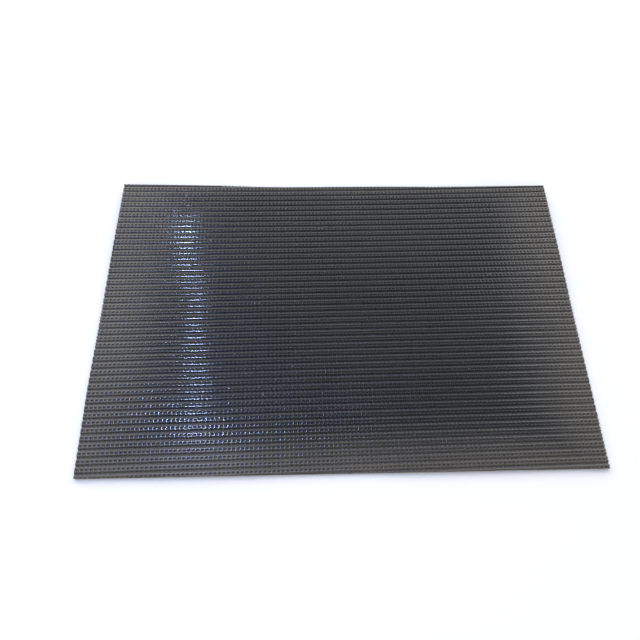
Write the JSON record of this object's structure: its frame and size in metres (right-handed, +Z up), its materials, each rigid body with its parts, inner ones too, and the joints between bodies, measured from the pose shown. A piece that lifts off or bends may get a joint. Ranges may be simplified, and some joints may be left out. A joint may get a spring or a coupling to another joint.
{
  "type": "door mat",
  "caption": "Thin flexible black door mat of coated ribs running across its width on a net of front-to-back strands, cut straight with no border.",
  "frame": {"origin": "the middle of the mat's underside, where it rests on the floor", "axes": "+X along the 600 mm width, which is the way the ribs run, +Y along the 400 mm depth towards the back, +Z up through the face"},
  "size_m": [0.6, 0.4, 0.004],
  "materials": {
    "rib_vinyl": "gloss dip-coated flexible PVC, black",
    "net_vinyl": "satin dip-coated flexible PVC over polyester strands, black"
  },
  "bodies": {
    "root": {"rib_01": "rib_vinyl", "rib_02": "rib_vinyl", "rib_03": "rib_vinyl", "rib_04": "rib_vinyl", "rib_05": "rib_vinyl", "rib_06": "rib_vinyl", "rib_07": "rib_vinyl", "rib_08": "rib_vinyl", "rib_09": "rib_vinyl", "rib_10": "rib_vinyl", "rib_11": "rib_vinyl", "rib_12": "rib_vinyl", "rib_13": "rib_vinyl", "rib_14": "rib_vinyl", "rib_15": "rib_vinyl", "rib_16": "rib_vinyl", "rib_17": "rib_vinyl", "rib_18": "rib_vinyl", "rib_19": "rib_vinyl", "rib_20": "rib_vinyl", "rib_21": "rib_vinyl", "rib_22": "rib_vinyl", "rib_23": "rib_vinyl", "rib_24": "rib_vinyl", "rib_25": "rib_vinyl", "rib_26": "rib_vinyl", "rib_27": "rib_vinyl", "rib_28": "rib_vinyl", "rib_29": "rib_vinyl", "rib_30": "rib_vinyl", "rib_31": "rib_vinyl", "rib_32": "rib_vinyl", "rib_33": "rib_vinyl", "rib_34": "rib_vinyl", "rib_35": "rib_vinyl", "rib_36": "rib_vinyl", "rib_37": "rib_vinyl", "rib_38": "rib_vinyl", "rib_39": "rib_vinyl", "rib_40": "rib_vinyl", "rib_41": "rib_vinyl", "rib_42": "rib_vinyl", "rib_43": "rib_vinyl", "rib_44": "rib_vinyl", "rib_45": "rib_vinyl", "rib_46": "rib_vinyl", "rib_47": "rib_vinyl", "rib_48": "rib_vinyl", "strand_net": "net_vinyl"}
  },
  "joints": []
}
